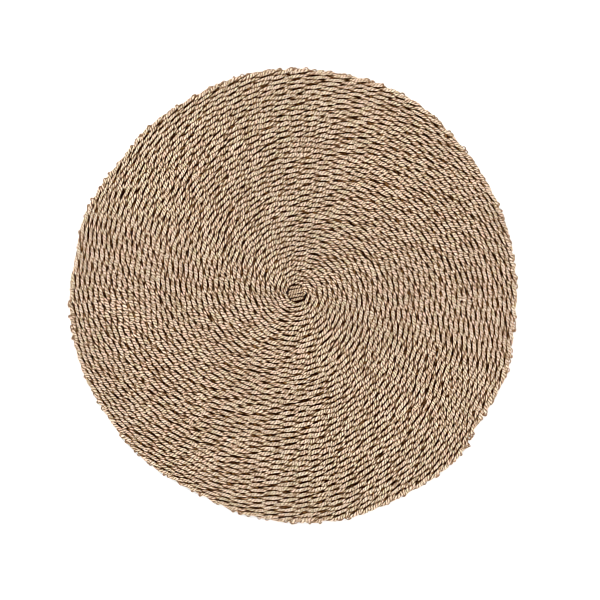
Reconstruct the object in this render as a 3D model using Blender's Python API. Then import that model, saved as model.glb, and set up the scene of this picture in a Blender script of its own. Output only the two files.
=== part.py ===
"""A round rug of sisal cord, twined in one spiral from its middle and lying flat.

Metres, +Z up. The origin is under the middle of the rug, on the surface that it lies on.
Seen from above, headings run anticlockwise from +X, in degrees.
"""

from collections import namedtuple

import bpy
import numpy as np

# The spiral winds outwards anticlockwise, and its last round stops short at the end heading.
# The places along it are counted in turns from that heading, and the first stitch comes a little later.
ROUNDS = 42
PITCH = 0.01382
END_HEADING = 320
END_STEP = 2.5
START_TURNS = 0.3
FIRST_GROOVE = 0.009
RIM_BAND = 0.005

# Overall sizes
MEAN_RADIUS = FIRST_GROOVE + (ROUNDS + 0.5) * PITCH + RIM_BAND
THICKNESS = 0.015

# The spiral's centre, off the rug's own, and how far the patch in it pushes the innermost rounds aside
# and outwards
SPIRAL_CENTRE = (0.003, 0.009)
PATCH_PUSH = (-0.001, -0.006)
PATCH_SWELL = 0.011
PATCH_REACH = 0.075

# The middle: a small patch of short strands laid side by side
STRAND_PITCH = 0.0104
STRAND_HEADING = 13
STRAND_RIDGE = 0.004

# The rounds: each stands up as a rounded ridge between two grooves
GROOVE_DEPTH = 0.0055
RIDGE_UNEVENNESS = 0.0006
UNEVEN_WAVES = 7
UNEVEN_DRIFT = 2.6

# The rim, from its widest line down to the underside
RIM_HEIGHT = 0.0075
BELLY_HEIGHT = 0.0035
BELLY_INSET = 0.0006
FOOT_INSET = 0.0035

# How finely the form is divided
STEPS_PER_ROUND = 60
PATCH_RINGS = 6

# Where the rug bulges or draws in: a heading, how far the edge stands out from an even spiral there,
# and how much further out than that the rounds lie five sixths of the way to the rim
Bulge = namedtuple("Bulge", "heading edge middle")
BULGES = (
    Bulge(0, -0.008, 0.008),
    Bulge(12, -0.007, 0.007),
    Bulge(28, -0.007, 0.009),
    Bulge(42, -0.004, 0.008),
    Bulge(61, 0.008, 0.006),
    Bulge(80, 0.002, 0.007),
    Bulge(100, 0.003, 0.005),
    Bulge(121, -0.006, 0.011),
    Bulge(131, -0.004, 0.010),
    Bulge(141, -0.011, 0.013),
    Bulge(160, 0.001, 0.012),
    Bulge(170, -0.004, 0.010),
    Bulge(181, 0.004, 0.007),
    Bulge(197, 0.005, 0.010),
    Bulge(211, -0.002, 0.012),
    Bulge(221, -0.002, 0.008),
    Bulge(243, -0.010, 0.013),
    Bulge(260, 0.001, 0.009),
    Bulge(271, 0.006, 0.006),
    Bulge(283, 0.009, 0.007),
    Bulge(298, 0.004, 0.004),
    Bulge(311, 0.008, 0.006),
    Bulge(319, 0.007, 0.008),
    Bulge(329, 0.004, 0.002),
    Bulge(339, 0.006, 0.005),
    Bulge(351, -0.006, 0.005),
)
EDGE_POWER = 1.6
MIDDLE_POWER = 5
MIDDLE_SCALE = (MIDDLE_POWER + 1) * ((MIDDLE_POWER + 1) / MIDDLE_POWER) ** MIDDLE_POWER

# Finish
SISAL_COLOUR = (0.60, 0.46, 0.31, 1.0)
SISAL_ROUGHNESS = 0.85


def clear_scene():
    for obj in list(bpy.data.objects):
        bpy.data.objects.remove(obj, do_unlink=True)


def bulge_at(heading, column):
    """One column of the table at each heading, eased from one row to the next."""
    headings = np.array([bulge.heading for bulge in BULGES] + [BULGES[0].heading + 360.0])
    values = np.array([getattr(bulge, column) for bulge in BULGES + BULGES[:1]])
    turned = (np.asarray(heading) - headings[0]) % 360.0 + headings[0]
    row = np.clip(np.searchsorted(headings, turned, side="right") - 1, 0, len(BULGES) - 1)
    share = (turned - headings[row]) / (headings[row + 1] - headings[row])
    eased = share * share * (3.0 - 2.0 * share)
    return values[row] + (values[row + 1] - values[row]) * eased


def lay(radius, heading, height):
    """Points of the rug, given the radius that they would have if it were round.

    The edge's unevenness grows from nothing at the centre, as a power of the way out. The middle's is
    nothing at the centre and at the rim, and greatest in between. The patch's push fades evenly outwards
    and is gone at its reach, and its swell fades as the square of that.
    """
    share = radius / MEAN_RADIUS
    bulge = share**EDGE_POWER * bulge_at(heading, "edge")
    bulge += MIDDLE_SCALE * share**MIDDLE_POWER * (1.0 - share) * bulge_at(heading, "middle")
    push = np.maximum(1.0 - radius / PATCH_REACH, 0.0)
    reach = radius + bulge + PATCH_SWELL * push**2
    angle = np.radians(heading)
    x = SPIRAL_CENTRE[0] * (1.0 - share) + PATCH_PUSH[0] * push + reach * np.cos(angle)
    y = SPIRAL_CENTRE[1] * (1.0 - share) + PATCH_PUSH[1] * push + reach * np.sin(angle)
    return np.stack([x, y, np.broadcast_to(height, x.shape)], axis=-1)


def turns_at(step):
    """The place of each step in turns: every turn is divided evenly, but for its short last step."""
    whole, part = np.divmod(step, STEPS_PER_ROUND)
    return whole + (1.0 - END_STEP / 360.0) * part / (STEPS_PER_ROUND - 1)


def along_spiral(turns, outset, height):
    """Points that lie this far outside the groove's spiral, which is an even one before it bulges."""
    radius = FIRST_GROOVE + PITCH * turns + outset
    return lay(radius, END_HEADING + 360.0 * turns, height)


def groove_points():
    """The groove's spiral from the first stitch, and after it one more turn outside the last round."""
    step = np.arange(round(START_TURNS * STEPS_PER_ROUND), (ROUNDS + 1) * STEPS_PER_ROUND)
    return along_spiral(turns_at(step), 0.0, THICKNESS - GROOVE_DEPTH)


def crest_points():
    """The top of each round, midway between its two grooves, unevenly high."""
    step = np.arange(round(START_TURNS * STEPS_PER_ROUND), ROUNDS * STEPS_PER_ROUND)
    turns = turns_at(step)
    unevenness = np.sin(2.0 * np.pi * (UNEVEN_WAVES * turns) + UNEVEN_DRIFT * turns)
    height = THICKNESS - RIDGE_UNEVENNESS * (1.0 + unevenness)
    return along_spiral(turns, PITCH / 2.0, height)


def rim_points(height, inset):
    """One turn along the rim, this far inside its widest line."""
    turns = turns_at(ROUNDS * STEPS_PER_ROUND + np.arange(STEPS_PER_ROUND))
    return along_spiral(turns, RIM_BAND - inset, height)


def patch_points(edge):
    """Rings from the patch's edge in to its middle, ridged across the direction of its strands."""
    middle = edge.mean(axis=0)
    shares = np.arange(PATCH_RINGS - 1, 0, -1) / PATCH_RINGS
    rings = middle + shares[:, None, None] * (edge - middle)
    rings = np.concatenate([rings.reshape(-1, 3), middle[None]])
    heading = np.radians(STRAND_HEADING)
    across = (rings[:, 1] - middle[1]) * np.cos(heading) - (rings[:, 0] - middle[0]) * np.sin(heading)
    ridge = 0.5 + 0.5 * np.cos(2.0 * np.pi * across / STRAND_PITCH)
    rings[:, 2] = THICKNESS - GROOVE_DEPTH + STRAND_RIDGE * ridge
    return rings


def round_faces(grooves, crests, closing):
    """The two slopes of every round. They meet in the closing point, so there they are triangles."""
    grooves = np.append(grooves, closing)
    crests = np.append(crests, closing)
    faces = []
    for step in range(len(crests) - 1):
        outer = step + STEPS_PER_ROUND
        faces.append((grooves[step], crests[step], crests[step + 1], grooves[step + 1]))
        faces.append((crests[step], grooves[outer], grooves[outer + 1], crests[step + 1]))
    return [list(dict.fromkeys(int(index) for index in face)) for face in faces]


def ring_faces(outer, inner):
    """Quads between two closed rings of as many points, seen from the side that the outer runs round."""
    count = len(outer)
    return [
        [outer[step], outer[(step + 1) % count], inner[(step + 1) % count], inner[step]]
        for step in range(count)
    ]


def mat_mesh():
    """One closed body: the patch, the rounds, the rim and the flat underside."""
    groove = groove_points()
    crest = crest_points()
    patch_edge = list(range(STEPS_PER_ROUND + 1)) + [len(groove)]
    body = np.concatenate([groove, crest])
    patch = patch_points(body[patch_edge])
    rims = [rim_points(RIM_HEIGHT, 0.0), rim_points(BELLY_HEIGHT, BELLY_INSET), rim_points(0.0, FOOT_INSET)]
    points = np.concatenate([body, patch, *rims])

    closing = len(groove) - STEPS_PER_ROUND
    faces = round_faces(np.arange(len(groove)), len(groove) + np.arange(len(crest)), closing)
    ring = patch_edge
    for number in range(PATCH_RINGS - 1):
        first = len(body) + number * len(patch_edge)
        inner = list(range(first, first + len(patch_edge)))
        faces += ring_faces(ring, inner)
        ring = inner
    middle = len(body) + len(patch) - 1
    faces += [[ring[step - 1], ring[step], middle] for step in range(len(ring))]

    ring = list(range(closing, len(groove)))
    for number in range(len(rims)):
        first = middle + 1 + number * STEPS_PER_ROUND
        outer = list(range(first, first + STEPS_PER_ROUND))
        faces += ring_faces(outer, ring)
        ring = outer
    faces.append(ring[::-1])

    low, high = points.min(axis=0), points.max(axis=0)
    points[:, :2] -= (low[:2] + high[:2]) / 2.0
    mesh = bpy.data.meshes.new("twined_mat")
    mesh.from_pydata(points.tolist(), [], faces)
    mesh.validate()
    return mesh


def sisal():
    """The undyed fibre's colour and its dull surface."""
    material = bpy.data.materials.new("sisal")
    material.use_nodes = True
    shader = material.node_tree.nodes["Principled BSDF"]
    shader.inputs["Base Color"].default_value = SISAL_COLOUR
    shader.inputs["Roughness"].default_value = SISAL_ROUGHNESS
    shader.inputs["Metallic"].default_value = 0.0
    return material


def twined_mat():
    mesh = mat_mesh()
    mesh.materials.append(sisal())
    mat = bpy.data.objects.new("twined_mat", mesh)
    bpy.context.scene.collection.objects.link(mat)
    return mat


clear_scene()
twined_mat()
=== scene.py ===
"""The round sisal rug with its looks: two cords twined in one spiral, lying flat on a pale floor.

Lengths are in metres. Headings are in degrees, seen from above, anticlockwise from +X. Places along the
spiral are counted in turns outwards, and in stitches: one stitch is the stretch in which a cord passes
over or under one radial cord.
"""

import logging
import math
from dataclasses import dataclass, field
from enum import Enum
from typing import NamedTuple

import bpy
import numpy as np
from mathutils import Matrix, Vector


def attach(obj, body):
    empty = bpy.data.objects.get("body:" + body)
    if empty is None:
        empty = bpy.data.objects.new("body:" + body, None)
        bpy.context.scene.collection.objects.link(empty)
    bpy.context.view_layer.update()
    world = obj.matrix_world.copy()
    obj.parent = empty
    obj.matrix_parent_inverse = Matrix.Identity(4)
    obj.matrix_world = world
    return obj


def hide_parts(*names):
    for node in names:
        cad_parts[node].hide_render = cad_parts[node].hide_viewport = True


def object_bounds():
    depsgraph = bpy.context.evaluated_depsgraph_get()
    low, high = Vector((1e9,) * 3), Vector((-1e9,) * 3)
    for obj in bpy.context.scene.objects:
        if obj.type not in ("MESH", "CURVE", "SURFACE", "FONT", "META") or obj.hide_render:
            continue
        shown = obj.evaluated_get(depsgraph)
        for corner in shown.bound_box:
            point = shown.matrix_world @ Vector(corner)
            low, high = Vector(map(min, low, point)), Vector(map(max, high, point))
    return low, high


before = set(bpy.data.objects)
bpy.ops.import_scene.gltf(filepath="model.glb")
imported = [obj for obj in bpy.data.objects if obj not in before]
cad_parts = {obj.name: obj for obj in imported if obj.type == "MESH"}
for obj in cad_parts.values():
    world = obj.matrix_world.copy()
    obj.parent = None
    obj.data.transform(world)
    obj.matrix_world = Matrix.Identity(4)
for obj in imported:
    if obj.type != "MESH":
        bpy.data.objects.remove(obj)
CAD_BOX = [list(corner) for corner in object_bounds()]

Colour = tuple[float, float, float]
Span = tuple[float, float]
Socket = bpy.types.NodeSocket

LOG = logging.getLogger("rug")
NODE = "twined_mat"
BODY = "root"
WHITE = (1.0, 1.0, 1.0)

# The ends between which a short cord's cast is drawn at random, where 0 is pink and 1 is green
MIXED_CASTS = (0.1, 0.9)


class Bulge(NamedTuple):
    """How far the edge and the rounds inside it stand out from an even spiral at one heading."""

    heading: float
    edge: float
    middle: float


BULGES = (
    Bulge(0, -0.008, 0.008),
    Bulge(12, -0.007, 0.007),
    Bulge(28, -0.007, 0.009),
    Bulge(42, -0.004, 0.008),
    Bulge(61, 0.008, 0.006),
    Bulge(80, 0.002, 0.007),
    Bulge(100, 0.003, 0.005),
    Bulge(121, -0.006, 0.011),
    Bulge(131, -0.004, 0.010),
    Bulge(141, -0.011, 0.013),
    Bulge(160, 0.001, 0.012),
    Bulge(170, -0.004, 0.010),
    Bulge(181, 0.004, 0.007),
    Bulge(197, 0.005, 0.010),
    Bulge(211, -0.002, 0.012),
    Bulge(221, -0.002, 0.008),
    Bulge(243, -0.010, 0.013),
    Bulge(260, 0.001, 0.009),
    Bulge(271, 0.006, 0.006),
    Bulge(283, 0.009, 0.007),
    Bulge(298, 0.004, 0.004),
    Bulge(311, 0.008, 0.006),
    Bulge(319, 0.007, 0.008),
    Bulge(329, 0.004, 0.002),
    Bulge(339, 0.006, 0.005),
    Bulge(351, -0.006, 0.005),
)


class Drift(NamedTuple):
    """A place, by heading and distance from the centre, where the rounds lie further out or in."""

    heading: float
    radius: float
    outset: float


DRIFTS = (
    Drift(325, 0.078, 0.003),
    Drift(95, 0.130, -0.002),
    Drift(200, 0.145, -0.004),
    Drift(280, 0.190, 0.006),
    Drift(85, 0.220, -0.007),
    Drift(345, 0.230, -0.003),
    Drift(150, 0.290, 0.002),
    Drift(295, 0.280, 0.005),
    Drift(60, 0.310, -0.003),
    Drift(212, 0.340, -0.003),
    Drift(112, 0.360, -0.006),
    Drift(185, 0.405, -0.008),
    Drift(275, 0.420, 0.003),
    Drift(90, 0.420, -0.004),
    Drift(245, 0.430, -0.004),
    Drift(140, 0.440, -0.004),
    Drift(305, 0.470, 0.002),
    Drift(340, 0.470, 0.002),
    Drift(15, 0.470, 0.002),
    Drift(240, 0.530, -0.003),
    Drift(185, 0.545, 0.004),
)


class Uneven(NamedTuple):
    """How far a value wanders from its middle along a cord, and the length over which it changes."""

    size: float
    reach: float


class Grain(NamedTuple):
    """A noise's fineness: features in a metre across the fibre and along it, and its finer layers."""

    across: float
    along: float
    detail: float


class Lamp(NamedTuple):
    """A large soft light: its heading and height, and how strong it is."""

    name: str
    heading: float
    height: float
    energy: float


LAMPS = (
    Lamp("key", 130.0, 2.6, 88.0),
    Lamp("fill", 320.0, 2.4, 60.0),
    Lamp("left", 215.0, 2.4, 37.0),
    Lamp("right", 40.0, 2.4, 37.0),
)


class Cord(Enum):
    """The two cords of the twined pair. The value is the first stitch that the cord passes over."""

    FIRST = 0
    SECOND = 1


def smooth_step(low: float, high: float, value: np.ndarray) -> np.ndarray:
    """An eased ramp: 3t squared less 2t cubed, with t running from 0 at low to 1 at high.

    Args:
        low: the value where the ramp leaves 0.
        high: the value where the ramp reaches 1.
        value: where to read it.

    Returns:
        The ramp's height at each value, from 0 to 1.
    """
    share = np.clip((value - low) / (high - low), 0.0, 1.0)
    return share * share * (3.0 - 2.0 * share)


def unit(vectors: np.ndarray) -> np.ndarray:
    """Each vector divided by its length."""
    return vectors / np.maximum(np.linalg.norm(vectors, axis=-1, keepdims=True), 1e-12)


def eased_from(values: np.ndarray, row: np.ndarray, share: np.ndarray) -> np.ndarray:
    """The values from each row to the next one, eased as share goes from 0 to 1."""
    return values[row] + (values[row + 1] - values[row]) * smooth_step(0.0, 1.0, share)


def drifting(rng: np.random.Generator, along: np.ndarray, uneven: Uneven) -> np.ndarray:
    """A value that wanders to both sides of 0: random knots one reach apart, joined by eased ramps.

    Args:
        rng: the source of the knots.
        along: how far along each point lies.
        uneven: how far the value wanders, and over which distance.

    Returns:
        The wandering value at each point.
    """
    place = (along - along.min()) / uneven.reach
    knots = uneven.size * rng.uniform(-1.0, 1.0, int(place.max()) + 2)
    low = place.astype(int)
    return eased_from(knots, low, place - low)


def swept_quads(stations: int, sides: int, count: int = 1) -> np.ndarray:
    """Quads that join each ring of points to the next along a tube, for several like tubes.

    Args:
        stations: rings on each tube.
        sides: points on each ring.
        count: how many tubes follow each other in the points.

    Returns:
        Rows of four point numbers, facing out where a ring turns from its outward to its upward axis.
    """
    station, side = np.meshgrid(np.arange(stations - 1), np.arange(sides), indexing="ij")
    here = station * sides + side
    beside = station * sides + (side + 1) % sides
    quads = np.stack([here, here + sides, beside + sides, beside], axis=-1).reshape(1, -1, 4)
    starts = np.arange(count)[:, None, None] * (stations * sides)
    return (quads + starts).reshape(-1, 4)


def end_caps(stations: int, sides: int, count: int = 1) -> np.ndarray:
    """The polygons that close both ends of each tube, in the order of swept_quads.

    Args:
        stations: rings on each tube.
        sides: points on each ring.
        count: how many tubes follow each other in the points.

    Returns:
        Two rows of point numbers for each tube.
    """
    first = np.arange(sides)
    last = (stations - 1) * sides + first[::-1]
    starts = np.arange(count)[:, None, None] * (stations * sides)
    return (np.stack([first, last])[None] + starts).reshape(-1, sides)


def build_mesh(name: str, points: np.ndarray, *faces: np.ndarray) -> bpy.types.Mesh:
    """Puts points and faces into a smooth-shaded mesh.

    Args:
        name: the mesh's name.
        points: the points, in any leading shape, with x, y and z last.
        faces: arrays of point numbers, one array for each number of corners.

    Returns:
        The mesh.
    """
    corners = np.concatenate([group.ravel() for group in faces]).astype(np.int32)
    sizes = np.concatenate([np.full(len(group), group.shape[1]) for group in faces])
    starts = np.concatenate([[0], np.cumsum(sizes)[:-1]]).astype(np.int32)
    flat = np.ascontiguousarray(points, np.float32).reshape(-1)
    mesh = bpy.data.meshes.new(name)
    mesh.vertices.add(len(flat) // 3)
    mesh.vertices.foreach_set("co", flat)
    mesh.loops.add(len(corners))
    mesh.loops.foreach_set("vertex_index", corners)
    mesh.polygons.add(len(sizes))
    mesh.polygons.foreach_set("loop_start", starts)
    mesh.polygons.foreach_set("use_smooth", np.ones(len(sizes), bool))
    mesh.update(calc_edges=True)
    return mesh


def placed(name: str, data: bpy.types.ID) -> bpy.types.Object:
    """Puts a mesh, a light or a camera into the scene.

    Args:
        name: the new object's name.
        data: what it shows.

    Returns:
        The object.
    """
    made = bpy.data.objects.new(name, data)
    bpy.context.scene.collection.objects.link(made)
    return made


def tube_mesh(name: str, rings: np.ndarray) -> bpy.types.Mesh:
    """Makes a mesh of closed tubes.

    Args:
        name: the mesh's name.
        rings: the points by station and side, and before that by tube where there are several.

    Returns:
        The mesh.
    """
    stations, sides = rings.shape[-3:-1]
    tubes = stations, sides, rings.size // (3 * stations * sides)
    return build_mesh(name, rings, swept_quads(*tubes), end_caps(*tubes))


@dataclass(frozen=True)
class Section:
    """A cord's outline: two plies side by side, full at each ply's back and hollow between the two."""

    sides: int = 8
    hollow: float = 0.62
    shoulder: float = 0.92
    size: float = 0.005

    @property
    def angles(self) -> np.ndarray:
        """Each point's angle from the first ply's back."""
        return np.arange(self.sides) * 2.0 * math.pi / self.sides

    @property
    def radii(self) -> np.ndarray:
        """Each point's distance from the cord's middle, as a share of the full radius."""
        towards = np.abs(np.cos(self.angles))
        return np.interp(towards, [0.0, math.sqrt(0.5), 1.0], [self.hollow, self.shoulder, 1.0])

    def carried(
        self,
        path: np.ndarray,
        outward: np.ndarray,
        half_width: np.ndarray,
        half_height: np.ndarray,
        twist: np.ndarray,
    ) -> np.ndarray:
        """Carries the section along a path.

        Each ring stands square to the path. Its width is along the part of outward that is square to
        the path, and its height along the direction square to both.

        Args:
            path: the middle of the tube, one point for each station.
            outward: the direction of the width, one for all stations or one for each.
            half_width: half the section's width at each station.
            half_height: half the section's height at each station.
            twist: how far the plies have turned at each station, from outward towards up.

        Returns:
            The rings' points, by station and side.
        """
        forward = unit(np.gradient(path, axis=-2))
        across = unit(outward - (outward * forward).sum(axis=-1, keepdims=True) * forward)
        upward = np.cross(across, forward)
        angles = self.angles + twist[..., None]
        x = (half_width[..., None] * self.radii * np.cos(angles))[..., None]
        z = (half_height[..., None] * self.radii * np.sin(angles))[..., None]
        return path[..., None, :] + across[..., None, :] * x + upward[..., None, :] * z

    def places(self, along: np.ndarray) -> np.ndarray:
        """Where each point lies in the fibre: across the two plies and along them.

        Args:
            along: the length along the cord at each station.

        Returns:
            Three numbers for each point, by station and side.
        """
        across = self.size * np.cos(self.angles), self.size * np.sin(self.angles)
        return np.stack(np.broadcast_arrays(*across, along[..., None]), axis=-1)


def lengths_along(path: np.ndarray) -> np.ndarray:
    """The length from the path's start to each of its points."""
    steps = np.linalg.norm(np.diff(path, axis=0), axis=1)
    return np.concatenate([[0.0], np.cumsum(steps)])


def right_of(forward: np.ndarray) -> np.ndarray:
    """The level direction to the right of each direction."""
    return np.stack([forward[..., 1], -forward[..., 0], np.zeros(forward.shape[:-1])], axis=-1)


def outward_of(path: np.ndarray) -> np.ndarray:
    """The level direction to the right of a path, which is outwards where it runs anticlockwise."""
    return right_of(unit(np.gradient(path, axis=0)))


class Graph:
    """A material's or a group's node tree, with short ways to add and join nodes."""

    def __init__(self, tree: bpy.types.NodeTree) -> None:
        """Keeps the tree that nodes are added to."""
        self.tree = tree

    def add(self, kind: str, inputs: dict | None = None, **settings: object) -> bpy.types.Node:
        """Adds a node, sets it up and joins its inputs.

        Args:
            kind: the node's type, without ShaderNode.
            inputs: socket name or number to a value, or to the socket that feeds it.
            settings: the node's own properties.

        Returns:
            The node.
        """
        node = self.tree.nodes.new("ShaderNode" + kind)
        for name, value in settings.items():
            setattr(node, name, value)
        self.feed(node, inputs or {})
        return node

    def feed(self, node: bpy.types.Node, inputs: dict) -> None:
        """Sets or joins a node's inputs.

        Args:
            node: a node of the tree.
            inputs: socket name or number to a value, or to the socket that feeds it.
        """
        for name, value in inputs.items():
            if isinstance(value, Socket):
                self.tree.links.new(value, node.inputs[name])
            else:
                node.inputs[name].default_value = value

    def maths(self, operation: str, first: object, second: object) -> Socket:
        """What an operation makes of two numbers or sockets, kept between 0 and 1."""
        node = self.add("Math", {0: first, 1: second}, operation=operation, use_clamp=True)
        return node.outputs[0]

    def blend(self, share: object, first: object, second: object, way: str = "MIX") -> Socket:
        """A colour that runs from the first to what the way makes of both as share goes from 0 to 1."""
        node = self.add("Mix", {0: share, 6: first, 7: second}, data_type="RGBA", blend_type=way)
        return node.outputs[2]

    def rescaled(self, value: object, before: tuple, after: tuple, way: str = "LINEAR") -> Socket:
        """A value moved from one range to another and kept inside it."""
        ends = dict(enumerate((value, *before, *after)))
        return self.add("MapRange", ends, interpolation_type=way).outputs[0]

    def ramp(self, value: object, stops: dict[float, Colour]) -> Socket:
        """A colour read from a few stops.

        Args:
            value: the place to read, from 0 to 1.
            stops: each stop's place to its colour, in rising order.

        Returns:
            The colour.
        """
        node = self.add("ValToRGB", {0: value})
        elements = node.color_ramp.elements
        while len(elements) < len(stops):
            elements.new(1.0)
        for element, (place, colour) in zip(elements, stops.items()):
            element.position = place
            element.color = (*colour, 1.0)
        return node.outputs[0]


def blank_material(name: str) -> tuple[bpy.types.Material, Graph, bpy.types.Node]:
    """Starts a material.

    Args:
        name: the material's name.

    Returns:
        The material, its node tree and its Principled shader.
    """
    material = bpy.data.materials.new(name)
    material.use_nodes = True
    return material, Graph(material.node_tree), material.node_tree.nodes["Principled BSDF"]


class FibreGroup:
    """The shader group of sisal fibre: streaks and blotches drawn along the plies, and their ridges."""

    name: str = "sisal_fibre"
    streaks: Grain = Grain(1500.0, 70.0, 3.0)
    blotches: Grain = Grain(420.0, 260.0, 1.0)
    roughness: float = 0.6
    relief: float = 0.5
    valley: float = 0.0042
    ridge_height: float = 0.0006

    @classmethod
    def tree(cls) -> bpy.types.NodeTree:
        """The group, made the first time that it is asked for.

        Returns:
            The node tree with inputs Relief and Valley, and outputs Streaks, Blotches, Ridge and Normal.
        """
        if cls.name in bpy.data.node_groups:
            return bpy.data.node_groups[cls.name]
        tree = bpy.data.node_groups.new(cls.name, "ShaderNodeTree")
        for label, value in (("Relief", cls.relief), ("Valley", cls.valley)):
            socket = tree.interface.new_socket(label, in_out="INPUT", socket_type="NodeSocketFloat")
            socket.default_value = value
        graph = Graph(tree)
        given = tree.nodes.new("NodeGroupInput")
        result = tree.nodes.new("NodeGroupOutput")
        place = graph.add("Attribute", attribute_name="fibre").outputs["Vector"]
        streaks = cls.drawn_noise(graph, place, cls.streaks)
        blotches = cls.drawn_noise(graph, place, cls.blotches)
        across = graph.add("SeparateXYZ", {0: place}).outputs[0]
        away = graph.add("Math", {0: across}, operation="ABSOLUTE").outputs[0]
        ridge = graph.rescaled(away, (0.0, given.outputs["Valley"]), (0.0, 1.0), "SMOOTHSTEP")
        height = graph.add("Math", {0: streaks, 1: ridge}, operation="ADD").outputs[0]
        relief = {"Strength": given.outputs["Relief"], "Distance": cls.ridge_height, "Height": height}
        normal = graph.add("Bump", relief).outputs[0]
        for label, kind, source in (
            ("Streaks", "Float", streaks),
            ("Blotches", "Float", blotches),
            ("Ridge", "Float", ridge),
            ("Normal", "Vector", normal),
        ):
            tree.interface.new_socket(label, in_out="OUTPUT", socket_type="NodeSocket" + kind)
            tree.links.new(source, result.inputs[label])
        return tree

    @classmethod
    def drawn_noise(cls, graph: Graph, place: Socket, grain: Grain) -> Socket:
        """A noise stretched along the fibre.

        Args:
            graph: the tree that it is added to.
            place: the place in the fibre.
            grain: how fine the noise is.

        Returns:
            The noise's value.
        """
        size = grain.across, grain.across, grain.along
        drawn = graph.add("VectorMath", {0: place, 1: size}, operation="MULTIPLY").outputs[0]
        inputs = {"Vector": drawn, "Scale": 1.0, "Detail": grain.detail, "Roughness": cls.roughness}
        return graph.add("TexNoise", inputs).outputs[0]


@dataclass(frozen=True)
class SisalFinish:
    """Undyed sisal: brown to cream by its tone, with pinkish and greenish stretches, and painted shade.

    The point attributes are fibre, a place across the plies and along them; tone, from 0 dark to 1 light;
    cast, from 0 pink to 1 green; and open, painted shade from 0 deep between the cords to 1 on their
    crests.
    """

    name: str
    cream: Colour = (1.0, 0.85, 0.69)
    straw: Colour = (0.76, 0.57, 0.405)
    tan: Colour = (0.50, 0.335, 0.20)
    brown: Colour = (0.24, 0.12, 0.05)
    pink: Colour = (0.88, 0.60, 0.46)
    green: Colour = (0.70, 0.63, 0.37)
    # deep and shelter are painted shade, read by the open attribute: deep at 0, shelter at 0.5
    deep: Colour = (0.030, 0.010, 0.002)
    shelter: Colour = (0.38, 0.235, 0.125)
    # valley is painted shade in the hollow between a cord's two plies
    valley: Colour = (0.12, 0.06, 0.025)
    noise_range: Span = (0.3, 0.7)
    roughness: Span = (0.92, 0.62)
    cast_share: float = 0.6
    streak_share: float = 1.0
    blotch_share: float = 0.6
    relief: float = 0.8
    gloss: float = 0.12

    def material(self) -> bpy.types.Material:
        """The finish as a material.

        Returns:
            A Principled material whose colour, roughness and normal follow the fibre.
        """
        material, graph, shader = blank_material(self.name)
        fibre = graph.add("Group", {"Relief": self.relief}, node_tree=FibreGroup.tree())
        names = "tone", "cast", "open"
        tone, cast, bare = (graph.add("Attribute", attribute_name=name).outputs["Fac"] for name in names)

        shade = tone
        for label, share in (("Streaks", self.streak_share), ("Blotches", self.blotch_share)):
            part = graph.rescaled(fibre.outputs[label], self.noise_range, (-0.5 * share, 0.5 * share))
            shade = graph.maths("ADD", shade, part)
        plain = graph.ramp(shade, {0.0: self.brown, 0.35: self.tan, 0.68: self.straw, 1.0: self.cream})
        tint = graph.ramp(cast, {0.0: self.pink, 0.5: self.straw, 1.0: self.green})
        away = graph.maths("SUBTRACT", cast, 0.5)
        towards = graph.maths("SUBTRACT", 0.5, cast)
        share = graph.maths("MULTIPLY", graph.maths("ADD", away, towards), 2.0 * self.cast_share)
        dry = graph.blend(share, plain, tint)
        # Painted shade in the valleys between the plies, by the fibre's Ridge mask
        hollow = graph.ramp(fibre.outputs["Ridge"], {0.0: self.valley, 1.0: WHITE})
        # Painted shade between the cords, from the open attribute
        painted_shade = graph.ramp(bare, {0.0: self.deep, 0.5: self.shelter, 1.0: WHITE})
        valley_shaded = graph.blend(1.0, dry, hollow, "MULTIPLY")
        colour = graph.blend(1.0, valley_shaded, painted_shade, "MULTIPLY")
        dull = graph.rescaled(fibre.outputs["Streaks"], self.noise_range, self.roughness)
        surface = {"Base Color": colour, "Roughness": dull, "Normal": fibre.outputs["Normal"]}
        graph.feed(shader, {**surface, "Specular IOR Level": self.gloss})
        return material


@dataclass(frozen=True)
class FloorFinish:
    """The pale plain floor, faintly mottled."""

    light: Colour = (0.97, 0.97, 0.97)
    shade: Colour = (0.95, 0.95, 0.95)
    roughness: float = 0.9
    gloss: float = 0.1
    mottles: float = 3.0
    detail: float = 2.0

    def material(self) -> bpy.types.Material:
        """The finish as a material.

        Returns:
            A Principled material, mottled by a soft noise on object coordinates.
        """
        material, graph, shader = blank_material("pale_floor")
        place = graph.add("TexCoord").outputs["Object"]
        mottle = graph.add("TexNoise", {"Vector": place, "Scale": self.mottles, "Detail": self.detail})
        colour = graph.ramp(mottle.outputs[0], {0.3: self.shade, 0.7: self.light})
        surface = {"Base Color": colour, "Roughness": self.roughness, "Specular IOR Level": self.gloss}
        graph.feed(shader, surface)
        return material


@dataclass(frozen=True)
class Fibres:
    """What the sisal finish reads at each point of a piece."""

    place: np.ndarray
    tone: np.ndarray
    cast: np.ndarray
    bare: np.ndarray

    def write(self, mesh: bpy.types.Mesh) -> None:
        """Stores the values on the mesh's points.

        Args:
            mesh: the mesh, whose points are in the same order.
        """
        vector = mesh.attributes.new("fibre", "FLOAT_VECTOR", "POINT")
        vector.data.foreach_set("vector", np.ascontiguousarray(self.place, np.float32).reshape(-1))
        for name, values in (("tone", self.tone), ("cast", self.cast), ("open", self.bare)):
            channel = mesh.attributes.new(name, "FLOAT", "POINT")
            channel.data.foreach_set("value", np.clip(values, 0.0, 1.0).astype(np.float32).reshape(-1))


def make_piece(mesh: bpy.types.Mesh, fibres: Fibres, material: bpy.types.Material) -> bpy.types.Object:
    """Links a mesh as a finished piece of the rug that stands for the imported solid.

    Args:
        mesh: its mesh, already in place, whose name becomes the piece's.
        fibres: what the finish reads at the mesh's points.
        material: its finish.

    Returns:
        The piece.
    """
    fibres.write(mesh)
    mesh.materials.append(material)
    piece = placed(mesh.name, mesh)
    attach(piece, BODY)
    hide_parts(NODE)
    LOG.info("%s: %d faces", piece.name, len(mesh.polygons))
    return piece


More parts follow.
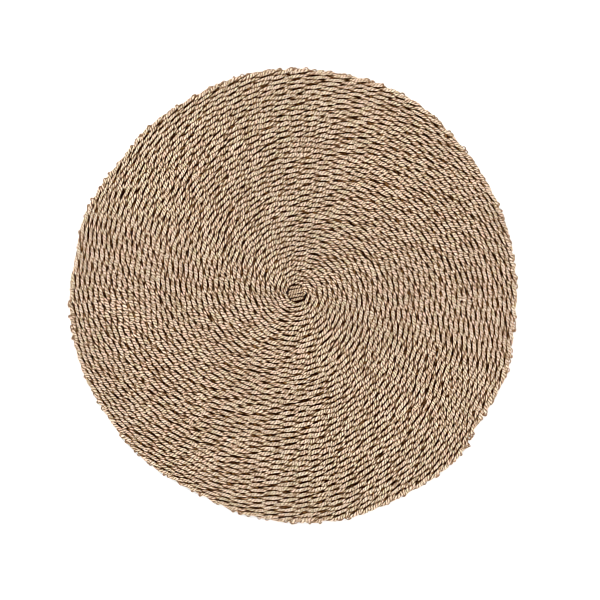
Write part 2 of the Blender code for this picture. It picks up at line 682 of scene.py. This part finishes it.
@dataclass(frozen=True)
class RugPlan:
    """Where every round of the spiral lies, seen from above.

    The spiral is the groove inside each round. It starts beside the patch of strands, and the groove
    outside a round is the same spiral one turn later.
    """

    thickness: float = CAD_BOX[1][2] - CAD_BOX[0][2]
    rounds: int = 42
    pitch: float = 0.01382
    end_heading: float = 320.0
    start_turns: float = 0.08
    first_groove: float = 0.009
    rim_band: float = 0.005
    spiral_centre: tuple[float, float] = (0.003, 0.009)
    # How the patch pushes the innermost rounds aside and outwards, and the radius at which that ends
    patch_push: tuple[float, float] = (-0.004, -0.004)
    patch_swell: float = 0.011
    patch_reach: float = 0.075
    # How the bulges grow outwards, how wide a drift is, and where on the way out the drifts start to fade
    edge_power: float = 1.6
    middle_power: float = 5.0
    drift_size: float = 0.055
    drift_fade: float = 0.9
    outline_steps: int = 720
    # How the last round closes, how much wider than the others it is, and how quickly it widens
    end_taper: float = 0.007
    end_narrowing: float = 0.6
    last_gain: float = 0.0026
    gain_turns: float = 0.03

    @property
    def mean_radius(self) -> float:
        """The radius that the rug would have if it were round."""
        return self.first_groove + (self.rounds + 0.5) * self.pitch + self.rim_band

    @property
    def middle_height(self) -> float:
        """The height of the mat's mid-plane."""
        return self.thickness / 2.0

    @property
    def patch_centre(self) -> np.ndarray:
        """The middle of the patch of strands, at the height of the floor."""
        flat = np.array(self.spiral_centre) + np.array(self.patch_push) + self.shift()
        return np.append(flat, 0.0)

    def bulge_at(self, heading: np.ndarray, column: str) -> np.ndarray:
        """One column of the bulges at each heading, eased from one row to the next.

        Args:
            heading: headings in degrees.
            column: which column.

        Returns:
            The distance beyond an even spiral, negative where the rug draws in.
        """
        headings = np.array([bulge.heading for bulge in BULGES] + [BULGES[0].heading + 360.0])
        values = np.array([getattr(bulge, column) for bulge in BULGES + BULGES[:1]])
        turned = (heading - headings[0]) % 360.0 + headings[0]
        row = np.clip(np.searchsorted(headings, turned, side="right") - 1, 0, len(BULGES) - 1)
        return eased_from(values, row, (turned - headings[row]) / (headings[row + 1] - headings[row]))

    def unshifted(self, turns: np.ndarray, outset: np.ndarray) -> np.ndarray:
        """Points about the rim's own centre: an even spiral, pushed out by the bulges and drifts.

        The edge's bulges grow as a power of the way out. The middle's are nothing at the centre and at
        the rim, and greatest in between. Each drift is a bell curve of the distance from its place, and
        fades to nothing at the rim. Near the patch the rounds are pushed aside and swollen.

        Args:
            turns: the place along the spiral, which gives the heading.
            outset: how far outside the groove.

        Returns:
            x and y of each point.
        """
        radius = self.first_groove + self.pitch * turns + outset
        heading = self.end_heading + 360.0 * turns
        share = np.maximum(radius / self.mean_radius, 0.0)
        power = self.middle_power
        scale = (power + 1.0) * ((power + 1.0) / power) ** power
        bulge = share**self.edge_power * self.bulge_at(heading, "edge")
        bulge += scale * share**power * (1.0 - share) * self.bulge_at(heading, "middle")
        angle = np.radians(heading)
        towards = np.stack([np.cos(angle), np.sin(angle)], axis=-1)
        bulge += self.drift_at(radius[..., None] * towards) * smooth_step(1.0, self.drift_fade, share)
        push = np.maximum(1.0 - radius / self.patch_reach, 0.0)
        aside = np.outer(1.0 - share, self.spiral_centre) + np.outer(push, self.patch_push)
        around = towards * (radius + bulge + self.patch_swell * push**2)[..., None]
        return aside.reshape(around.shape) + around

    def drift_at(self, places: np.ndarray) -> np.ndarray:
        """How far all the drifts together push the rounds outwards.

        Args:
            places: x and y of each point, before any push.

        Returns:
            The distance at each point.
        """
        total = np.zeros(places.shape[:-1])
        for drift in DRIFTS:
            angle = math.radians(drift.heading)
            centre = drift.radius * math.cos(angle), drift.radius * math.sin(angle)
            away = np.linalg.norm(places - centre, axis=-1) / self.drift_size
            total += drift.outset * np.exp(-0.5 * away**2)
        return total

    def shift(self) -> np.ndarray:
        """The way from the middle of the outline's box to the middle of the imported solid's box.

        Returns:
            x and y of the way.
        """
        part = np.arange(self.outline_steps) / self.outline_steps
        outline = self.unshifted(self.rounds + part, np.full(len(part), self.rim_band))
        box = np.array(CAD_BOX)[:, :2].mean(axis=0)
        return box - (outline.min(axis=0) + outline.max(axis=0)) / 2.0

    def lay(self, turns: np.ndarray, outset: float | np.ndarray, height: float | np.ndarray) -> np.ndarray:
        """Points of the rug in the frame.

        Args:
            turns: the place along the spiral.
            outset: how far outside the groove.
            height: the height above the floor.

        Returns:
            x, y and z of each point.
        """
        turns, outset, height = np.broadcast_arrays(np.asarray(turns, float), outset, height)
        flat = self.unshifted(turns, outset) + self.shift()
        return np.concatenate([flat, height[..., None]], axis=-1)

    def gain_at(self, turns: np.ndarray) -> np.ndarray:
        """How much wider than the others the last round is, which has no neighbour to press on it."""
        last = self.rounds - 1.0
        return self.last_gain * smooth_step(last, last + self.gain_turns, turns)

    def closing_at(self, turns: np.ndarray) -> np.ndarray:
        """How far the last round has closed towards its end, from 0 to 1."""
        return smooth_step(self.rounds - self.end_taper, self.rounds, turns)

    def round_middle(self, turns: np.ndarray, height: float | np.ndarray) -> np.ndarray:
        """Points halfway between a round's two grooves, which draw in to the groove at the very end."""
        halfway = (self.pitch + self.gain_at(turns)) / 2.0
        return self.lay(turns, halfway * (1.0 - self.closing_at(turns)), height)

    def fullness(self, turns: np.ndarray) -> np.ndarray:
        """How wide a round is, which narrows again towards the spiral's end.

        Args:
            turns: the place along the spiral.

        Returns:
            The width at each place, where 1 is the usual pitch.
        """
        width = np.linalg.norm(self.lay(turns + 1.0, 0.0, 0.0) - self.lay(turns, 0.0, 0.0), axis=-1)
        narrowing = 1.0 - self.end_narrowing * self.closing_at(turns)
        return (width + self.gain_at(turns)) / self.pitch * narrowing


@dataclass
class StitchPlan:
    """The radial cords: at which part of a turn each of them crosses each round.

    The cords spread apart as the rounds grow. Where two come too far apart a new one is set between them,
    and in the rounds that follow each moves some of the way to the middle of its neighbours.
    """

    plan: RugPlan
    # How long a stitch is, how many cords there are at first, and the gap in stitches that takes a new one
    stitch: float = 0.0388
    first_cords: int = 8
    widest: Span = (1.10, 1.50)
    # How far a cord moves towards the middle of its neighbours, and how far a crossing strays from it
    easing: float = 0.12
    stray: float = 0.20
    most_stray: float = 2.0
    first_places: Span = (0.1, 0.5)
    bare_ends: tuple[float, float] = (0.05, 0.003)
    seed: int = 11
    parts: list[np.ndarray] = field(default_factory=list)
    numbers: list[np.ndarray] = field(default_factory=list)

    def __post_init__(self) -> None:
        """Works the crossings out from the first round to the last."""
        rng = np.random.default_rng(self.seed)
        count = self.first_cords
        parts = (np.arange(count) + rng.uniform(*self.first_places, count)) / count
        numbers = np.arange(count)
        fresh = count
        for row in range(self.plan.rounds):
            around = 2.0 * math.pi * (self.plan.first_groove + self.plan.pitch * (row + 1.0))
            gaps = np.diff(np.append(parts, parts[0] + 1.0))
            widest = self.stitch * rng.uniform(*self.widest, len(gaps))
            wide = np.flatnonzero(gaps * around > widest)
            parts = np.insert(parts, wide + 1, parts[wide] + gaps[wide] / 2.0)
            numbers = np.insert(numbers, wide + 1, fresh + np.arange(len(wide)))
            fresh += len(wide)
            gaps = np.diff(np.append(parts, parts[0] + 1.0))
            parts = parts + self.easing * (gaps - np.roll(gaps, 1))
            stray = rng.normal(0.0, 1.0, len(parts)).clip(-self.most_stray, self.most_stray)
            self.parts.append(parts + self.stray * stray * gaps)
            self.numbers.append(numbers)

    def twined(self, turns: np.ndarray) -> np.ndarray:
        """Those of the places that aren't in the short bare stretches at the spiral's two ends."""
        low, high = self.plan.start_turns + self.bare_ends[0], self.plan.rounds - self.bare_ends[1]
        return turns[(turns > low) & (turns < high)]

    @property
    def crossings(self) -> np.ndarray:
        """Where the spiral starts, crosses the radial cords and ends, in turns."""
        turns = np.sort(np.concatenate([row + parts for row, parts in enumerate(self.parts)]))
        return np.concatenate([[self.plan.start_turns], self.twined(turns), [self.plan.rounds]])

    def turns_at(self, stitches: np.ndarray) -> np.ndarray:
        """The place in turns of a place in stitches."""
        crossings = self.crossings
        return np.interp(stitches, np.arange(len(crossings)), crossings)


@dataclass(frozen=True)
class Strand:
    """One cord's course: its points and what the fibre shows at each of them."""

    rings: np.ndarray
    fibres: Fibres

    def piece(self, name: str, low: int, high: int, material: bpy.types.Material) -> bpy.types.Object:
        """One length of the cord as a closed tube.

        Args:
            name: the piece's name.
            low: the first station.
            high: the last station.
            material: the finish.

        Returns:
            The piece.
        """
        part = slice(low, high + 1)
        whole = self.fibres
        shown = Fibres(whole.place[part], whole.tone[part], whole.cast[part], whole.bare[part])
        return make_piece(tube_mesh(name, self.rings[part]), shown, material)


@dataclass
class TwinedPair:
    """The two cords that are twined round the radial cords.

    Seen from the end, the pair turns half a turn in each stitch. A cord's middle swings inwards and
    outwards by sine and up and down by cosine of that angle, with the top and bottom of the swing drawn
    out, so that it lies long over a radial cord and changes places with the other cord quickly.
    """

    plan: RugPlan
    stitches: StitchPlan
    section: Section = Section()
    # The cord's size over a radial cord, and where it changes places with the other cord. The higher the
    # power, the shorter is the stretch with the second size
    half_width: float = 0.0051
    half_height: float = 0.0032
    crossing_half_width: float = 0.0045
    crossing_half_height: float = 0.0056
    crossing_power: int = 4
    fullness_range: Span = (0.35, 1.25)
    # Its swing, how far its weight presses it down, and what it keeps clear of the floor
    sway: float = 0.0040
    press: float = 0.0003
    clearance: float = 0.0002
    # The distance between rings, the length of a ply's half turn, and the most that it turns in a ring
    top_step: float = 0.0022
    under_step: float = 0.0057
    fewest_steps: int = 4
    ply_pitch: float = 0.0073
    most_twist: float = math.radians(52.0)
    uneven_sway: Uneven = Uneven(0.0007, 0.028)
    uneven_height: Uneven = Uneven(0.0004, 0.020)
    uneven_thickness: tuple[Uneven, ...] = (Uneven(0.05, 0.028), Uneven(0.06, 0.009))
    coarseness: float = 0.10
    # Where the painted shade on the fibre ends: away from the mid-plane, away from the grooves and at the
    # rim
    painted_shade_heights: Span = (0.0006, 0.0026)
    groove: float = 0.0004
    rim_fade: float = 0.004
    # The fibre's colour: its usual tone, the tone's grain, and how both tone and cast wander
    tone: float = 0.88
    grain: float = 0.85
    stretch_tone: Uneven = Uneven(0.02, 0.30)
    ply_tone: Uneven = Uneven(0.48, 0.006)
    ply_cast: Uneven = Uneven(0.50, 0.013)
    pattern_shift: float = 0.37
    seed: int = 20
    pieces: tuple[str, ...] = ("inner", "middle", "outer")

    @property
    def lift(self) -> float:
        """How far a cord's middle is from the mid-plane at the top of its swing."""
        return self.plan.middle_height - self.half_height

    def stations(self, cord: Cord) -> tuple[np.ndarray, np.ndarray]:
        """Places along a cord, close together where it passes over and wider apart where it passes under.

        Args:
            cord: which cord of the pair.

        Returns:
            The places in stitches, and the ply's angle at each.
        """
        count = len(self.stitches.crossings) - 1
        stitch = np.arange(count + 1)
        ends = self.stitches.turns_at(np.stack([stitch - 0.5, stitch + 0.5]))
        length = np.linalg.norm(np.subtract(*self.plan.round_middle(ends, 0.0)), axis=-1)
        step = np.where((stitch + cord.value) % 2 == 0, self.top_step, self.under_step)
        steps = np.maximum(np.round(length / step), self.fewest_steps).astype(int)
        twist = np.minimum(math.pi * length / steps / self.ply_pitch, self.most_twist)
        first = np.repeat(np.cumsum(steps) - steps, steps)
        within = (np.arange(steps.sum()) - first) / np.repeat(steps, steps)
        places = np.repeat(stitch, steps) + within - 0.5
        inside = (places >= 0.0) & (places <= count)
        return places[inside], np.cumsum(np.repeat(twist, steps))[inside]

    def build(self, material: bpy.types.Material) -> list[bpy.types.Object]:
        """Makes both cords, each in three lengths.

        Args:
            material: the finish of the cords.

        Returns:
            The pieces.
        """
        made = []
        for cord in Cord:
            strand = self.strand(cord)
            cuts = np.linspace(0, len(strand.rings) - 1, len(self.pieces) + 1).astype(int)
            for part, low, high in zip(self.pieces, cuts[:-1], cuts[1:]):
                made.append(strand.piece(f"{cord.name.lower()}_cord_{part}", low, high, material))
        return made

    def strand(self, cord: Cord) -> Strand:
        """The whole course of one cord from the patch to the rim.

        Args:
            cord: which cord of the pair.

        Returns:
            Its rings of points and its fibre.
        """
        rng = np.random.default_rng(self.seed + cord.value)
        places, twist = self.stations(cord)
        turns = self.stitches.turns_at(places)
        fullness = np.clip(self.plan.fullness(turns), *self.fullness_range)
        middle = self.plan.round_middle(turns, 0.0)
        outward = outward_of(middle)
        along = lengths_along(middle)
        phase = math.pi * (places + cord.value)
        crossing = np.sin(phase) ** self.crossing_power

        sideways = drifting(rng, along, self.uneven_sway) - self.sway * fullness * np.sin(phase)
        height = self.plan.middle_height + self.lift * np.sin(0.5 * math.pi * np.cos(phase))
        height += drifting(rng, along, self.uneven_height) - self.press
        thick = 1.0 + sum(drifting(rng, along, uneven) for uneven in self.uneven_thickness)
        half_width = self.half_width + (self.crossing_half_width - self.half_width) * crossing
        half_height = self.half_height + (self.crossing_half_height - self.half_height) * crossing
        half_width *= thick * fullness
        half_height *= thick
        path = middle + outward * sideways[:, None]
        path[:, 2] = height

        rings = self.section.carried(path, outward, half_width, half_height, twist)
        coarse = 1.0 + self.coarseness * rng.uniform(-1.0, 1.0, rings.shape[:2])
        rings = path[:, None] + (rings - path[:, None]) * coarse[..., None]
        rings[..., 2] = np.clip(rings[..., 2], self.clearance, None)
        # Painted shade: the open value darkens points near the mid-plane and at the round's edges, but not
        # on the rim's outer side
        side = ((rings - middle[:, None]) * outward[:, None]).sum(axis=-1)
        inside = (self.plan.pitch * fullness / 2.0)[:, None] - np.abs(side)
        away = np.abs(rings[..., 2] - self.plan.middle_height)
        bare = smooth_step(*self.painted_shade_heights, away) * smooth_step(0.0, self.groove, inside)
        rim = (turns > self.plan.rounds - 1.0)[:, None] * smooth_step(0.0, self.rim_fade, side)
        shift = self.pattern_shift * cord.value
        return Strand(rings, self.fibres(rng, along, np.maximum(bare, rim), shift))

    def fibres(
        self, rng: np.random.Generator, along: np.ndarray, bare: np.ndarray, shift: float
    ) -> Fibres:
        """The fibre along one cord, where each ply has its own tone.

        Args:
            rng: the source of the uneven colour.
            along: the length from the cord's start to each station.
            bare: how open to the light each point is, by station and side.
            shift: how far the fibre's pattern is moved along, which tells one cord from the other.

        Returns:
            The values at every point.
        """
        first_ply = 0.5 + 0.5 * np.cos(self.section.angles)
        plies = np.stack([first_ply, 1.0 - first_ply])
        tones = np.stack([drifting(rng, along, self.ply_tone) for _ in plies], axis=-1)
        casts = np.stack([drifting(rng, along, self.ply_cast) for _ in plies], axis=-1)
        stretch = drifting(rng, along, self.stretch_tone)[:, None]
        grain = self.grain * rng.uniform(-1.0, 1.0, bare.shape)
        place = self.section.places(along + shift)
        return Fibres(place, self.tone + stretch + tones @ plies + grain, 0.5 + casts @ plies, bare)


@dataclass
class RadialCords:
    """The thin cords that run from the middle to the rim, between the upper and the lower stitches."""

    plan: RugPlan
    stitches: StitchPlan
    section: Section = Section(sides=6, hollow=0.9, shoulder=0.96)
    half_width: float = 0.0034
    half_height: float = 0.0028
    fewest_points: int = 4
    pressed: float = 0.65
    rise: Span = (0.0, 0.0014)
    twist_step: float = 0.7
    pattern_shift: float = 0.4
    # The most light that the painted shade leaves on a point, and the power that keeps most points darker
    painted_light: float = 0.6
    painted_light_power: float = 1.5
    tones: Span = (0.3, 0.9)
    seed: int = 31

    def build(self, material: bpy.types.Material) -> bpy.types.Object:
        """Makes all radial cords as one piece of separate closed tubes.

        Args:
            material: the finish, which darkens the cords with painted shade.

        Returns:
            The piece.
        """
        rng = np.random.default_rng(self.seed)
        sides = self.section.sides
        rings, quads, caps, places, bare = [], [], [], [], []
        total = 0
        for number in range(max(numbers.max() for numbers in self.stitches.numbers) + 1):
            path = self.path(number)
            if len(path) < self.fewest_points:
                continue
            pressed = (np.arange(len(path)) % 2 == 0).astype(float)
            path[:, 2] += (1.0 - pressed) * rng.uniform(*self.rise, len(path))
            flat = 1.0 - (1.0 - self.pressed) * pressed
            twist = self.twist_step * np.arange(len(path))
            width, height = self.half_width / flat, self.half_height * flat
            places.append(self.section.places(lengths_along(path) + self.pattern_shift * number))
            rings.append(self.section.carried(path, outward_of(path), width, height, twist))
            quads.append(swept_quads(len(path), sides) + total)
            caps.append(end_caps(len(path), sides) + total)
            # Painted shade: each point gets a low open value at random, so the cords look deep in the mat
            lit_share = rng.uniform(0.0, self.painted_light, len(path)) ** self.painted_light_power
            bare.append(np.repeat(lit_share, sides))
            total += len(path) * sides
        rings, quads, caps, places = (np.concatenate(parts) for parts in (rings, quads, caps, places))
        tone, cast = rng.uniform(*self.tones, total), rng.uniform(*MIXED_CASTS, total)
        shown = Fibres(places, tone, cast, np.concatenate(bare))
        return make_piece(build_mesh("radial_cords", rings, quads, caps), shown, material)

    def path(self, number: int) -> np.ndarray:
        """The middle line of one radial cord: a point under each round's middle and one in each groove.

        Args:
            number: which cord.

        Returns:
            The points, where the twined cords press on every other one.
        """
        rounds = enumerate(zip(self.stitches.parts, self.stitches.numbers))
        turns = np.concatenate([row + parts[numbers == number] for row, (parts, numbers) in rounds])
        centres = self.plan.round_middle(self.stitches.twined(turns), self.plan.middle_height)
        path = np.empty((max(2 * len(centres) - 1, 0), 3))
        path[0::2] = centres
        path[1::2] = (centres[:-1] + centres[1:]) / 2.0
        return path


@dataclass
class SlotShadeSheet:
    """A dark sheet of painted shade that closes the slots between the rounds.

    It is one thin sheet with the rug's outline, ribbed across by a cosine of the turns, so that it
    rises a little under each round.
    """

    plan: RugPlan
    low: float = 0.0048
    high: float = 0.0060
    rib: float = 0.0004
    rim_inset: float = 0.006
    hub: float = 0.004
    tone: float = 0.3
    rings: int = 60
    steps: int = 144

    def build(self, material: bpy.types.Material) -> bpy.types.Object:
        """Makes the sheet.

        Args:
            material: the finish, which the sheet's open value of 0 turns into painted deep shade.

        Returns:
            The piece.
        """
        plan = self.plan
        part = np.arange(self.steps) / self.steps
        part, share = np.meshgrid(part, np.linspace(self.hub, 1.0, self.rings))
        rim = plan.first_groove + plan.pitch * (plan.rounds + part) + plan.rim_band - self.rim_inset
        outset = share * rim - plan.first_groove - plan.pitch * part
        rib = self.rib * np.cos(2.0 * math.pi * outset / plan.pitch)
        top = plan.lay(part, outset, self.high - rib)
        under = plan.lay(part, outset, self.low + rib)[::-1]
        pole = np.stack([top[0].mean(axis=0), under[-1].mean(axis=0)])
        points = np.concatenate([top.reshape(-1, 3), under.reshape(-1, 3), pole])
        count = 2 * self.rings
        step = np.arange(self.steps)
        after = (step + 1) % self.steps
        last = (count - 1) * self.steps
        top_fan = np.stack([np.full(self.steps, len(points) - 2), step, after], axis=-1)
        under_fan = np.stack([np.full(self.steps, len(points) - 1), last + after, last + step], axis=-1)
        fans = np.concatenate([top_fan, under_fan])
        mesh = build_mesh("slot_shade_sheet", points, swept_quads(count, self.steps), fans)
        plain = np.ones(len(points))
        # Painted shade: open is 0 everywhere, so the sheet takes the deep shade colour
        return make_piece(mesh, Fibres(points, self.tone * plain, 0.5 * plain, 0.0 * plain), material)


@dataclass
class StartPatch:
    """The short strands where the work starts: two-ply cords side by side, with their ends turned in.

    They lie in two layers, one on the rug's upper face and one on its lower face.
    """

    plan: RugPlan
    section: Section = Section()
    # Which way they run, how far they lie off the patch's middle, and their distance and lengths
    heading: float = 13.0
    offset: tuple[float, float, float] = (0.0012, -0.0016, 0.0)
    pitch: float = 0.0078
    lengths: tuple[float, ...] = (0.034, 0.046, 0.052, 0.048, 0.038)
    half_width: float = 0.0038
    half_height: float = 0.0036
    ply_pitch: float = 0.0070
    stations: int = 24
    # How far the ends turn into the mat, and how late along the strand they do so
    sink: float = 0.006
    sink_power: int = 5
    clearance: float = 0.0003
    # How far a strand sways aside, as a sine of its length that starts elsewhere on each of them
    bend: float = 0.0012
    bend_rate: float = 60.0
    bend_by_strand: float = 2.0
    bend_by_layer: float = 3.0
    first_twist: Span = (0.0, 3.0)
    unevenness: float = 0.05
    tones: Span = (0.0, 0.8)
    # Heights over which the painted shade ends, away from the mid-plane
    painted_shade_heights: Span = (0.0012, 0.0056)
    seed: int = 41

    def build(self, material: bpy.types.Material) -> bpy.types.Object:
        """Makes the strands as one piece.

        Args:
            material: the finish of the cords.

        Returns:
            The piece.
        """
        rng = np.random.default_rng(self.seed)
        angle = math.radians(self.heading)
        forward = np.array([math.cos(angle), math.sin(angle), 0.0])
        outward = right_of(forward)
        middle_height = self.plan.middle_height
        layer, place = np.indices((2, len(self.lengths))).reshape(2, -1, 1)
        side, count = 1.0 - 2.0 * layer, len(place)
        reach = np.linspace(-0.5, 0.5, self.stations)[None]
        along = np.array(2 * self.lengths)[:, None] * reach
        aside = (place - (len(self.lengths) - 1) / 2.0) * self.pitch
        phase = self.bend_rate * along + self.bend_by_strand * place + self.bend_by_layer * layer
        aside = aside + self.bend * np.sin(phase)
        path = self.plan.patch_centre + self.offset
        path = path + forward * along[..., None] + outward * aside[..., None]
        sunk = self.sink * np.abs(2.0 * reach) ** self.sink_power
        lift = middle_height - self.half_height - self.clearance - sunk
        path[..., 2] = middle_height + side * lift
        twist = math.pi * along / self.ply_pitch + rng.uniform(*self.first_twist, (count, 1))
        size = 1.0 + self.unevenness * rng.uniform(-1.0, 1.0, path.shape[:2])
        half_width, half_height = self.half_width * size, self.half_height * size
        rings = self.section.carried(path, outward, half_width, half_height, twist)
        # Painted shade: the strands darken towards the mid-plane, where they dip into the mat
        shown = Fibres(
            place=self.section.places(along + np.arange(count)[:, None]),
            tone=rng.uniform(*self.tones, rings.shape[:3]),
            cast=rng.uniform(*MIXED_CASTS, rings.shape[:3]),
            bare=smooth_step(*self.painted_shade_heights, side[..., None] * (rings[..., 2] - middle_height)),
        )
        return make_piece(tube_mesh("start_strands", rings), shown, material)


@dataclass
class RimTurns:
    """The radial cords' ends, turned back round the last round as small loops that stand proud of it.

    A loop is half an ellipse: along the rim by a cosine and out of it by a sine, while it sinks from
    above the rim's middle to below it.
    """

    plan: RugPlan
    section: Section = Section(sides=6, hollow=0.85, shoulder=0.95)
    # The loops' distance, half their length along the rim, and how far they stand out of it
    spacing: float = 0.0125
    reach: Span = (0.0028, 0.0068)
    proud: Span = (-0.0030, 0.0048)
    # How deep the ends are tucked in, how high the loop lies, and how far it sinks from end to end
    tucked: float = 0.0085
    rise: Span = (-0.001, 0.003)
    sink: float = 0.0050
    radius: float = 0.0021
    thickness: Span = (0.65, 1.30)
    end_gap: float = 0.003
    step_back: float = 1e-4
    stations: int = 11
    twist_step: float = 0.5
    pattern_shift: float = 0.3
    tones: Span = (0.02, 0.70)
    # The painted shade's least light on a loop, and how much lighter its outer point is
    painted_light: Span = (0.25, 0.60)
    seed: int = 51

    def build(self, material: bpy.types.Material) -> bpy.types.Object:
        """Makes the loops as one piece of separate closed tubes.

        Args:
            material: the finish of the rim.

        Returns:
            The piece.
        """
        rng = np.random.default_rng(self.seed)
        count = int(2.0 * math.pi * self.plan.mean_radius / self.spacing)
        turns = self.plan.rounds + np.sort(rng.uniform(0.0, 1.0 - self.end_gap, count))
        edge = self.plan.lay(turns, self.plan.rim_band, 0.0)
        before = self.plan.lay(turns - self.step_back, self.plan.rim_band, 0.0)
        forward = unit(edge - before)[:, None]
        outward = right_of(forward)
        bend = np.linspace(0.0, math.pi, self.stations)[None]
        reach = rng.uniform(*self.reach, (count, 1))
        proud = rng.uniform(*self.proud, (count, 1)) - self.radius
        height = self.plan.middle_height + rng.uniform(*self.rise, (count, 1))
        path = (
            edge[:, None]
            - forward * (reach * np.cos(bend))[..., None]
            + outward * ((self.tucked + proud) * np.sin(bend) - self.tucked)[..., None]
        )
        path[..., 2] = height + self.sink * np.cos(bend) / 2.0
        thick = self.radius * rng.uniform(*self.thickness, (count, 1))
        twist = self.twist_step * np.arange(self.stations)
        rings = self.section.carried(path, np.array([0.0, 0.0, 1.0]), thick, thick, twist)
        # Painted shade: the loops are darkest at their tucked ends and lightest at their outer point
        low, gain = self.painted_light
        everywhere = np.ones(rings.shape[:3])
        shown = Fibres(
            place=self.section.places(bend * reach + self.pattern_shift * np.arange(count)[:, None]),
            tone=rng.uniform(*self.tones, rings.shape[:3]),
            cast=rng.uniform(*MIXED_CASTS, (count, 1, 1)) * everywhere,
            bare=(low + gain * np.sqrt(np.sin(bend)))[..., None] * everywhere,
        )
        return make_piece(tube_mesh("rim_turns", rings), shown, material)


@dataclass
class Studio:
    """The floor, the lights and the camera, which looks straight down as the photograph does."""

    frame_width: float = 1.600
    lens: float = 85.0
    sensor: float = 36.0
    photo_size: float = 600.0
    rug_centre: tuple[float, float] = (292.9, 295.9)
    floor_reach: float = 9.0
    surround: float = 0.36
    filter_width: float = 0.7
    lamp_distance: float = 2.4
    lamp_size: float = 1.6

    def build(self, plan: RugPlan) -> None:
        """Sets up all of it.

        Args:
            plan: the rug's plan, for the height that the camera is focused on.
        """
        self.floor()
        self.world()
        self.lights()
        self.camera(plan)

    def floor(self) -> None:
        """A wide flat floor just under the rug."""
        corners = np.array([(x, y, 0.0) for x, y in ((-1, -1), (1, -1), (1, 1), (-1, 1))])
        mesh = build_mesh("floor", self.floor_reach * corners, np.array([[0, 1, 2, 3]]))
        mesh.materials.append(FloorFinish().material())
        placed("floor", mesh)

    def world(self) -> None:
        """An even pale surround."""
        world = bpy.data.worlds.new("pale_room")
        world.use_nodes = True
        background = world.node_tree.nodes["Background"]
        background.inputs["Color"].default_value = (*WHITE, 1.0)
        background.inputs["Strength"].default_value = self.surround
        bpy.context.scene.world = world
        bpy.context.scene.view_settings.view_transform = "Standard"
        bpy.context.scene.cycles.filter_width = self.filter_width

    def lights(self) -> None:
        """Large soft lights from the sides, the one at the photograph's upper left a little stronger."""
        away = self.lamp_distance
        for lamp in LAMPS:
            data = bpy.data.lights.new(lamp.name, "AREA")
            data.energy = lamp.energy
            data.size = self.lamp_size
            light = placed(lamp.name, data)
            angle = math.radians(lamp.heading)
            light.location = (away * math.cos(angle), away * math.sin(angle), lamp.height)
            light.rotation_euler = (math.atan2(away, lamp.height), 0.0, angle + math.pi / 2.0)

    def camera(self, plan: RugPlan) -> None:
        """A long lens straight above, off the rug's centre by as much as in the photograph.

        Args:
            plan: the rug's plan.
        """
        data = bpy.data.cameras.new("camera")
        data.lens = self.lens
        data.sensor_width = self.sensor
        camera = placed("camera", data)
        scale = self.frame_width / self.photo_size
        middle = self.photo_size / 2.0
        away = self.frame_width * self.lens / self.sensor
        camera.location = (
            (middle - self.rug_centre[0]) * scale,
            (self.rug_centre[1] - middle) * scale,
            plan.middle_height + away,
        )
        bpy.context.scene.camera = camera


def main() -> None:
    logging.basicConfig(level=logging.INFO, format="%(name)s: %(message)s")
    plan = RugPlan()
    stitches = StitchPlan(plan)
    cord_finish = SisalFinish("sisal_cord").material()
    inner_finish = SisalFinish("sheltered_sisal", streak_share=0.3, relief=0.4, gloss=0.0).material()

    # A sheet of painted shade in the slots between the rounds
    shade_sheet = SlotShadeSheet(plan).build(inner_finish)
    on_it = [RadialCords(plan, stitches).build(inner_finish)]
    on_it += TwinedPair(plan, stitches).build(cord_finish)
    on_it.append(StartPatch(plan).build(cord_finish))
    on_it.append(RimTurns(plan).build(cord_finish))

    Studio().build(plan)


if __name__ == "__main__":
    main()
